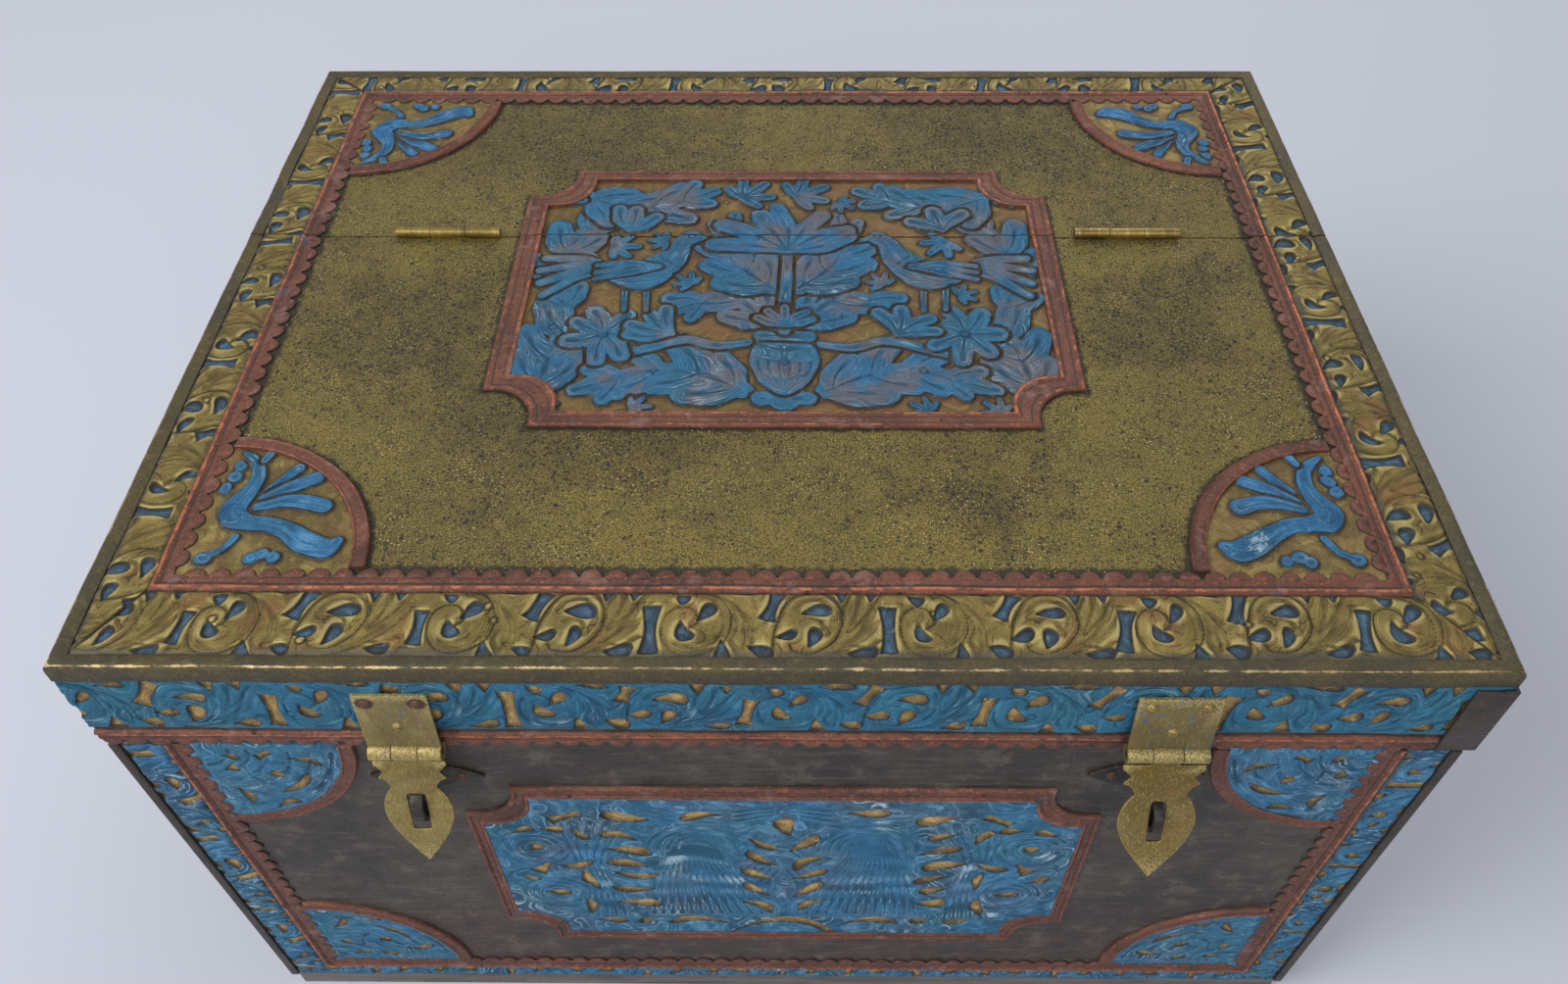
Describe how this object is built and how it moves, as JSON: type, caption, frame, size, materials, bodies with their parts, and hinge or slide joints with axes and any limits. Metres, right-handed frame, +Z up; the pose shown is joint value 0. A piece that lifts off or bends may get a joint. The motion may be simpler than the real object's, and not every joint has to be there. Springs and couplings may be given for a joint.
{
  "type": "storage trunk",
  "caption": "Storage trunk clad in embossed brass and copper, with a front lid hinged across the top, swinging hasps over staples, and drop handles on the ends.",
  "frame": {"origin": "middle of the underside", "axes": "+X to the right along the width, -Y to the front where the hasps are, +Z up"},
  "size_m": [0.545, 0.4306, 0.3094],
  "materials": {
    "base_wood": "worn grey-brown plinth",
    "board_wood": "plain boards under the cladding",
    "top_brass": "patinated sheet with dark specks and bright worn points",
    "wall_brass": "dark brown-grey patinated sheet",
    "border_relief": "embossed brass scrolls over a blue ground",
    "frieze_relief": "embossed sheet, blue scrolls with brass openings, worn",
    "fan_relief": "embossed brass with blue painted parts",
    "cartouche_relief": "embossed blue foliage over a brass ground, worn",
    "copper": "aged copper with bright worn crests",
    "edge_brass": "dark brass angle with a bright worn edge",
    "corner_steel": "dark bent sheet",
    "hasp_brass": "worn brass",
    "staple_steel": "dark steel with rust",
    "hinge_brass": "worn brass",
    "nail_brass": "small domed heads, worn bright",
    "handle_brass": "dull brass"
  },
  "bodies": {
    "chest": {"bottom_board": "base_wood", "front_board": "board_wood", "back_board": "board_wood", "left_board": "board_wood", "right_board": "board_wood", "deck_board": "board_wood", "front_sheet": "wall_brass", "back_sheet": "wall_brass", "end_sheets": "wall_brass", "deck_sheet": "top_brass", "front_frieze": "frieze_relief", "back_frieze": "frieze_relief", "end_friezes": "frieze_relief", "front_moulding": "copper", "back_moulding": "copper", "end_mouldings": "copper", "deck_moulding": "copper", "front_fans": "fan_relief", "end_fans": "fan_relief", "deck_fans": "fan_relief", "chest_fan_bands": "copper", "corner_angles": "corner_steel", "front_cartouche_panel": "cartouche_relief", "deck_cartouche_panel": "cartouche_relief", "front_cartouche_frame": "copper", "deck_cartouche_frame": "copper", "deck_border": "border_relief", "deck_edge_strip": "edge_brass", "deck_hinge_leaves": "hinge_brass", "hinge_pins": "staple_steel", "deck_hinge_screws": "staple_steel", "staples": "staple_steel", "staple_plates": "staple_steel", "chest_nails": "nail_brass", "handle_plates": "handle_brass"},
    "lid": {"lid_board": "board_wood", "lid_front_skirt": "board_wood", "lid_left_skirt": "board_wood", "lid_right_skirt": "board_wood", "lid_sheet": "top_brass", "lid_front_frieze": "frieze_relief", "lid_end_friezes": "frieze_relief", "lid_skirt_moulding": "copper", "lid_corner_piece": "corner_steel", "lid_border": "border_relief", "lid_edge_strip": "edge_brass", "lid_moulding": "copper", "lid_fans": "fan_relief", "lid_fan_bands": "copper", "lid_cartouche_panel": "cartouche_relief", "lid_cartouche_frame": "copper", "lid_hinge_leaves": "hinge_brass", "lid_hinge_screws": "staple_steel", "hasp_upper_leaves": "hasp_brass", "hasp_pins": "staple_steel", "hasp_nails": "nail_brass"},
    "hasp_left": {"hasp_leaf_left": "hasp_brass"},
    "hasp_right": {"hasp_leaf_right": "hasp_brass"},
    "handle_left": {"handle_left": "handle_brass"},
    "handle_right": {"handle_right": "handle_brass"}
  },
  "joints": [
    {"name": "lid_hinge", "type": "hinge", "parent": "chest", "child": "lid", "pos_m": [0, 0.049, 0.307], "axis": [-1, 0, 0], "range_deg": [0, 170]},
    {"name": "left_hasp_hinge", "type": "hinge", "parent": "lid", "child": "hasp_left", "pos_m": [-0.1413, -0.2052, 0.2575], "axis": [-1, 0, 0], "range_deg": [0, 140]},
    {"name": "right_hasp_hinge", "type": "hinge", "parent": "lid", "child": "hasp_right", "pos_m": [0.1434, -0.2064, 0.2605], "axis": [-1, 0, 0], "range_deg": [0, 135]},
    {"name": "left_handle_hinge", "type": "hinge", "parent": "chest", "child": "handle_left", "pos_m": [-0.2669, 0, 0.206], "axis": [0, 1, 0], "range_deg": [-5, 180]},
    {"name": "right_handle_hinge", "type": "hinge", "parent": "chest", "child": "handle_right", "pos_m": [0.2669, 0, 0.206], "axis": [0, -1, 0], "range_deg": [-5, 180]}
  ]
}
